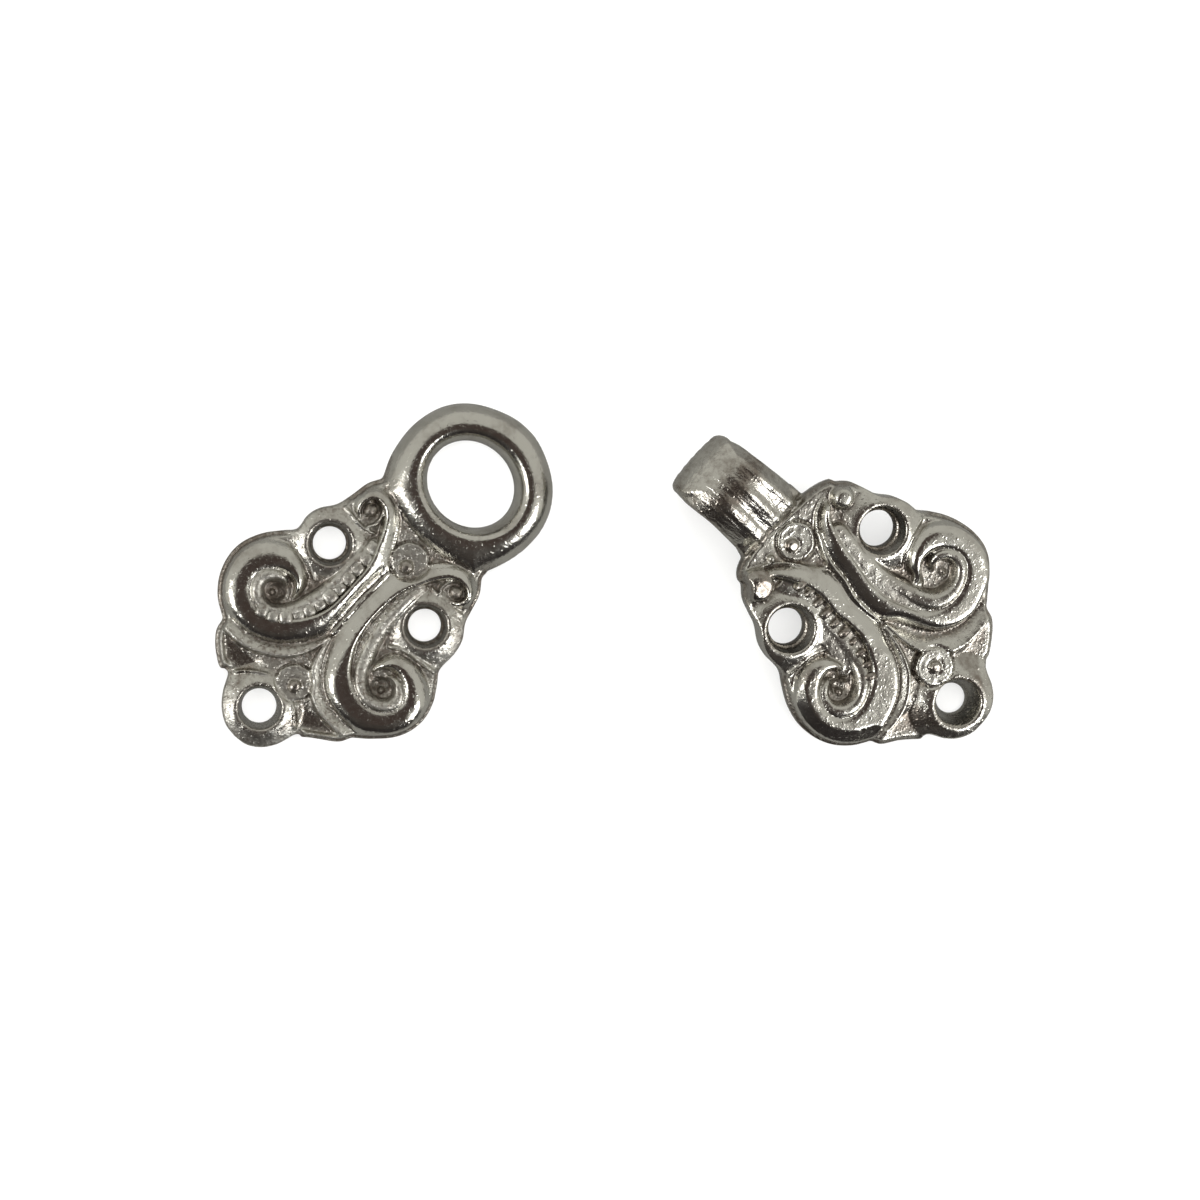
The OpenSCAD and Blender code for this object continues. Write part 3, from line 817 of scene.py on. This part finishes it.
def beads(half, relief, tree, material):
    """All the bead rows of one half as a single piece."""
    design, cast = warp_pairs(half)
    bend = warp(design, cast)
    uneven, matte, hollow = BEAD_FINISH[half]
    rows = []
    for number, (side, points, count, length, width, height, sunk, tilt) in enumerate(BEAD_ROWS[half]):
        way = curve_through(points, 6)
        x, y = bend(side * way[:, 0], way[:, 1])
        z = read_relief(relief, x, y) - sunk
        path = placed(np.stack([x, y, z], 1), half)
        rows.append(bead_row(
            tree, path, Beads=count, Length=length * MM, Width=width * MM, Height=height * MM,
            Tilt=math.radians(tilt), Unevenness=uneven, Seed=20 + number))
    shape = bmesh.new()
    for mesh in rows:
        shape.from_mesh(mesh)
    joined = bpy.data.meshes.new(half + "_beads")
    shape.to_mesh(joined)
    shape.free()
    joined.materials.append(material)
    piece = in_scene(half + "_beads", joined)
    add_value(piece, "matte", np.full(len(joined.vertices), matte))
    add_value(piece, "hollow", np.full(len(joined.vertices), hollow))
    return piece


def read_relief(relief, x, y):
    """Height of a relief at places between its grid points."""
    xs, ys, height = relief
    i = np.clip(np.round((x - xs[0]) / CELL).astype(int), 0, len(xs) - 1)
    j = np.clip(np.round((y - ys[0]) / CELL).astype(int), 0, len(ys) - 1)
    return height[i, j]


def add_value(piece, name, values):
    """A number for each vertex, which the finish reads by name."""
    layer = piece.data.attributes.new(name, "FLOAT", "POINT")
    layer.data.foreach_set("value", np.ascontiguousarray(values, np.float32))


def casting(half, material):
    """One half's casting as a single closed mesh, and its relief."""
    low, high = GRID[half]
    xs, ys, zs = (np.arange(a, b + step / 2, step) for a, b, step in zip(low, high, STEPS))
    x, y = np.meshgrid(xs, ys, indexing="ij")
    height, edge, matte, tarnish_and_painted_shade = plate_relief(half, x, y)
    rough = sum(cast_noise(x.shape, cells, seed) * share for cells, share, seed in LUMPS)
    height = height + (0.006 + 0.012 * blur(matte, 2)) * rough * LUMP_STRENGTH[half]
    relief = height
    if half == "eye":
        ring, ring_edge = ring_relief(x, y)
        # the plate stops under the ring, which stands on its own foot
        field = solid_from_relief(height, np.minimum(edge, outside_opening(x, y)), zs)
        field = soft_max(field, solid_from_relief(ring, ring_edge, zs), 0.12)
        on_ring = (ring_edge > 0) & (ring > height)
        relief = np.where(on_ring, ring, height)
    else:
        field = solid_from_relief(height, edge, zs)
        rows = ys > HOOK_FROM
        part = hook_solid(xs[:, None], *np.meshgrid(ys[rows], zs, indexing="ij"))
        # the hook grows out of the plate in a soft hollow
        joint = 0.1 + 0.9 * rise(-ys[rows], -8, 1.4) * rise(ys[rows], 5.9, 0.6)
        field[:, rows] = soft_max(field[:, rows], part, joint[:, None])
    for side in (0, -1):
        field[side], field[:, side], field[..., side] = -1, -1, -1
    points, faces = skin(field.astype(np.float32), low, STEPS)
    piece = mesh_object(half + "_casting", placed(points, half), faces, material)
    px, py, pz = points.T
    above = pz > PLAIN_BELOW
    top = above & (py < PLATE_END)
    # darker colour: patina in the recesses, plus the painted dark reflections on the balls carried in from
    # plate_relief and, below, on the hook's bend
    recess_and_painted_shade = np.maximum((blur(relief, 5) - relief) / 0.35, 0.9 * tarnish_and_painted_shade)
    hollow = np.where(top, read_relief((xs, ys, recess_and_painted_shade), px, py), 0)
    smooth = blur(matte, 1.5)
    if half == "eye":
        smooth = np.where(on_ring, 0.12, smooth)
    else:
        smooth = smooth * 0.3
        # painted dark reflection: the colour is darkest where the hook starts to bend, standing in for the
        # dark room reflected there
        painted_dark_reflection = 0.75 * fade(py - 10.3, 0.9) * above
        hollow = np.maximum(hollow, painted_dark_reflection * (py > PLATE_END))
    add_value(piece, "hollow", np.clip(hollow, -1, 1))
    add_value(piece, "matte", np.where(top, read_relief((xs, ys, smooth), px, py), 0.0))
    add_value(piece, "brushed", rise(py, 6.2, 1.0) * (half == "hook"))
    return piece, (xs, ys, relief)


def new_group(name, inputs, outputs):
    """An empty shader node group and its two ends. An input without a default value is a vector."""
    tree = bpy.data.node_groups.new(name, "ShaderNodeTree")
    for label, value in inputs.items():
        kind = "Vector" if value is None else "Color" if isinstance(value, tuple) else "Float"
        socket = tree.interface.new_socket(label, in_out="INPUT", socket_type="NodeSocket" + kind)
        if value is not None:
            socket.default_value = value
    for label, kind in outputs.items():
        tree.interface.new_socket(label, in_out="OUTPUT", socket_type="NodeSocket" + kind)
    return tree, tree.nodes.new("NodeGroupInput").outputs, tree.nodes.new("NodeGroupOutput").inputs


def cast_grain_group():
    """Height of the cast skin: fine grain all over, and small pimples that crowd in the hollows and where
    shade is painted.
    """
    inputs = {"Place": None, "Patina and painted shade": 0.0, "Grain": 1.0, "Pimples": 1.0}
    tree, given, result = new_group("cast_grain", inputs, {"Height": "Float"})
    fine = add_noise(tree, given["Place"], 6500, 2, 0.6)
    lumps = add_noise(tree, given["Place"], 1500, 2, 0.5)
    spots = add_noise(tree, given["Place"], 4800, 1, 0.4)
    crowd = add_range(tree, given["Patina and painted shade"], -0.3, 0.6, 0.64, 0.48)
    raised = add_math(tree, "SUBTRACT", spots, crowd)
    raised = add_math(tree, "MAXIMUM", raised, 0.0)
    raised = add_math(tree, "MULTIPLY", raised, given["Pimples"])
    grain = add_math(tree, "MULTIPLY", fine, 0.16)
    grain = add_math(tree, "ADD", grain, add_math(tree, "MULTIPLY", lumps, 0.35))
    grain = add_math(tree, "MULTIPLY", grain, given["Grain"])
    height = add_math(tree, "ADD", grain, add_math(tree, "MULTIPLY", raised, 2.2))
    tree.links.new(height, result["Height"])
    return tree


def tone_and_shade_group():
    """Colour and gloss of old plating: brown-grey toning in patches and hollows, painted shade in the same
    colour, bright where it is worn.
    """
    inputs = {"Place": None, "Patina and painted shade": 0.0, "Matte": 0.0, "Brushed": 0.0, "Bright": BRIGHT, "Patina and shade colour": PATINA_AND_SHADE_COLOUR}
    tree, given, result = new_group("silver_tone_and_painted_shade", inputs, {"Color": "Color", "Roughness": "Float"})
    place = given["Place"]
    patches = add_noise(tree, place, 420, 3, 0.6)
    small = add_noise(tree, place, 2600, 2, 0.6)
    cover = add_math(tree, "MULTIPLY", add_range(tree, patches, 0.42, 0.68, 0, 1, "SMOOTHSTEP"), 0.45)
    low = add_range(tree, given["Patina and painted shade"], 0.05, 0.8, 0, 0.75)
    cover = add_math(tree, "ADD", cover, low)
    cover = add_math(tree, "MULTIPLY", cover, add_range(tree, small, 0.3, 0.7, 0.55, 1.2))
    freckles = add_range(tree, add_noise(tree, place, 4200, 2, 0.6), 0.5, 0.66, 0, 0.7)
    cover = add_math(tree, "ADD", cover, add_math(tree, "MULTIPLY", freckles, given["Matte"]))
    mottle = add_range(tree, add_noise(tree, place, 2200, 4, 0.7), 0.44, 0.7, 0, 0.6)
    cover = add_math(tree, "ADD", cover, add_math(tree, "MULTIPLY", mottle, given["Brushed"]))
    cover = add_math(tree, "MINIMUM", cover, 1.0)
    tree.links.new(add_mix(tree, cover, given["Bright"], given["Patina and shade colour"]), result["Color"])
    worn = add_range(tree, small, 0.3, 0.7, 0.14, 0.22)
    gloss = add_math(tree, "ADD", add_math(tree, "MULTIPLY", cover, 0.1), worn)
    gloss = add_math(tree, "ADD", gloss, add_math(tree, "MULTIPLY", given["Matte"], 0.24))
    tree.links.new(gloss, result["Roughness"])
    return tree


def silver(grain_group, tone_group):
    """Old silver plating over a cast skin, brushed lengthwise on the hook."""
    material = bpy.data.materials.new("silver_plate")
    material.use_nodes = True
    tree = material.node_tree
    bsdf = tree.nodes["Principled BSDF"]
    bsdf.inputs["Metallic"].default_value = 1.0
    place = tree.nodes.new("ShaderNodeTexCoord").outputs["Object"]
    hollow, matte, brushed = (
        add_node(tree, "ShaderNodeAttribute", {}, attribute_name=name).outputs["Fac"]
        for name in ("hollow", "matte", "brushed"))
    coarse = add_range(tree, matte, 0, 1, 0.6, 2.2)
    pimples = add_range(tree, matte, 0, 1, 0.4, 1.2)
    grain = add_node(tree, "ShaderNodeGroup", {}, node_tree=grain_group)
    tone = add_node(tree, "ShaderNodeGroup", {}, node_tree=tone_group)
    for node, name, value in (
            (grain, "Place", place), (grain, "Patina and painted shade", hollow), (grain, "Grain", coarse),
            (grain, "Pimples", pimples), (tone, "Place", place), (tone, "Patina and painted shade", hollow),
            (tone, "Matte", matte), (tone, "Brushed", brushed),
            (bsdf, "Base Color", tone.outputs["Color"]), (bsdf, "Roughness", tone.outputs["Roughness"])):
        tree.links.new(value, node.inputs[name])
    # the scratches run along the hook
    turn, lean = (math.radians(angle) for angle in PLACE["hook"][1:])
    stretch = {"Vector": place, "Rotation": (lean, 0, turn), "Scale": (1, 14, 1)}
    along = add_node(tree, "ShaderNodeMapping", stretch, vector_type="TEXTURE")
    scratches = add_math(tree, "MULTIPLY", add_noise(tree, along.outputs["Vector"], 2600, 3, 0.65), brushed)
    height = add_math(tree, "ADD", grain.outputs["Height"], scratches)
    bump = add_node(tree, "ShaderNodeBump", {"Height": height, "Strength": 1.0, "Distance": 0.00006})
    tree.links.new(bump.outputs["Normal"], bsdf.inputs["Normal"])
    return material


def studio_world():
    """Dim warm room: grey walls, dark round the camera overhead and dark low down towards the viewer."""
    world = bpy.data.worlds.new("studio")
    bpy.context.scene.world = world
    world.use_nodes = True
    tree = world.node_tree
    place = tree.nodes.new("ShaderNodeTexCoord").outputs["Generated"]

    def patch(direction, inner, outer):
        """1 within inner degrees of a direction, falling to 0 at outer degrees."""
        along = add_node(tree, "ShaderNodeVectorMath", {0: place, 1: Vector(direction).normalized()},
                         operation="DOT_PRODUCT")
        low, high = (math.cos(math.radians(angle)) for angle in (outer, inner))
        return add_range(tree, along.outputs["Value"], low, high, 0, 1, "SMOOTHSTEP")

    colour = WALLS
    for direction, inner, outer, dark in DARK_PATCHES:
        colour = add_mix(tree, patch(direction, inner, outer), colour, dark)
    ray = tree.nodes.new("ShaderNodeLightPath")
    colour = add_mix(tree, ray.outputs["Is Camera Ray"], colour, BACKDROP)
    tree.links.new(colour, tree.nodes["Background"].inputs["Color"])


def lamp(name, azimuth, zenith, spread, radiance):
    """A round softbox one metre away, by its direction and half width in degrees."""
    data = bpy.data.lights.new(name, "AREA")
    data.shape = "DISK"
    data.size = 2 * math.tan(math.radians(spread))
    data.energy = radiance * math.pi * math.pi * (data.size / 2) ** 2
    light = in_scene(name, data)
    a, t = math.radians(azimuth), math.radians(zenith)
    where = Vector((math.cos(a) * math.sin(t), math.sin(a) * math.sin(t), math.cos(t)))
    light.location = where
    light.rotation_euler = (-where).to_track_quat("-Z", "Y").to_euler()
    return light


def floor():
    """A plain pale floor, 3 m across, which the metal reflects darker than the camera sees it."""
    mesh = bpy.data.meshes.new("floor")
    mesh.from_pydata([(-1.5, -1.5, 0), (1.5, -1.5, 0), (1.5, 1.5, 0), (-1.5, 1.5, 0)], [], [(0, 1, 2, 3)])
    material = bpy.data.materials.new("pale_floor")
    material.use_nodes = True
    tree = material.node_tree
    bsdf = tree.nodes["Principled BSDF"]
    bsdf.inputs["Roughness"].default_value = 0.9
    bsdf.inputs["Emission Color"].default_value = (0.6, 0.6, 0.595, 1)
    seen = tree.nodes.new("ShaderNodeLightPath").outputs["Is Camera Ray"]
    tone = add_mix(tree, seen, (0.17, 0.168, 0.16, 1), (0.35, 0.35, 0.345, 1))
    tree.links.new(seen, bsdf.inputs["Emission Strength"])
    tree.links.new(tone, bsdf.inputs["Base Color"])
    mesh.materials.append(material)
    in_scene("floor", mesh)


def camera():
    """The camera at the photograph's angle, with Y upright."""
    data = bpy.data.cameras.new("camera")
    data.lens = CAMERA_LENS
    data.sensor_width = 36
    data.sensor_fit = "HORIZONTAL"
    data.clip_start = 0.01
    data.clip_end = 10
    eye = in_scene("camera", data)
    back = (Vector(CAMERA_AT) - Vector(CAMERA_AIM)).normalized()
    right = Vector((0, 1, 0)).cross(back).normalized()
    up = back.cross(right)
    m = Matrix((right, up, back)).transposed().to_4x4()
    m.translation = Vector(CAMERA_AT) * MM
    eye.matrix_world = m
    bpy.context.scene.camera = eye


camera()
studio_world()
lamp("lamp_right", azimuth=325, zenith=50, spread=12, radiance=8)
lamp("lamp_left", azimuth=195, zenith=50, spread=12, radiance=8)
fill = lamp("lamp_above", azimuth=90, zenith=15, spread=40, radiance=3.2)
fill.visible_glossy = False
floor()
bpy.context.scene.view_settings.view_transform = "Standard"
plate = silver(cast_grain_group(), tone_and_shade_group())
bead_nodes = bead_tree(plate)
for half in ("eye", "hook"):
    piece, relief = casting(half, plate)
    row = beads(half, relief, bead_nodes, plate)
    for part in (piece, row):
        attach(part, "root")
        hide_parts(half + "_half")
    print(half, len(piece.data.polygons), "quads")
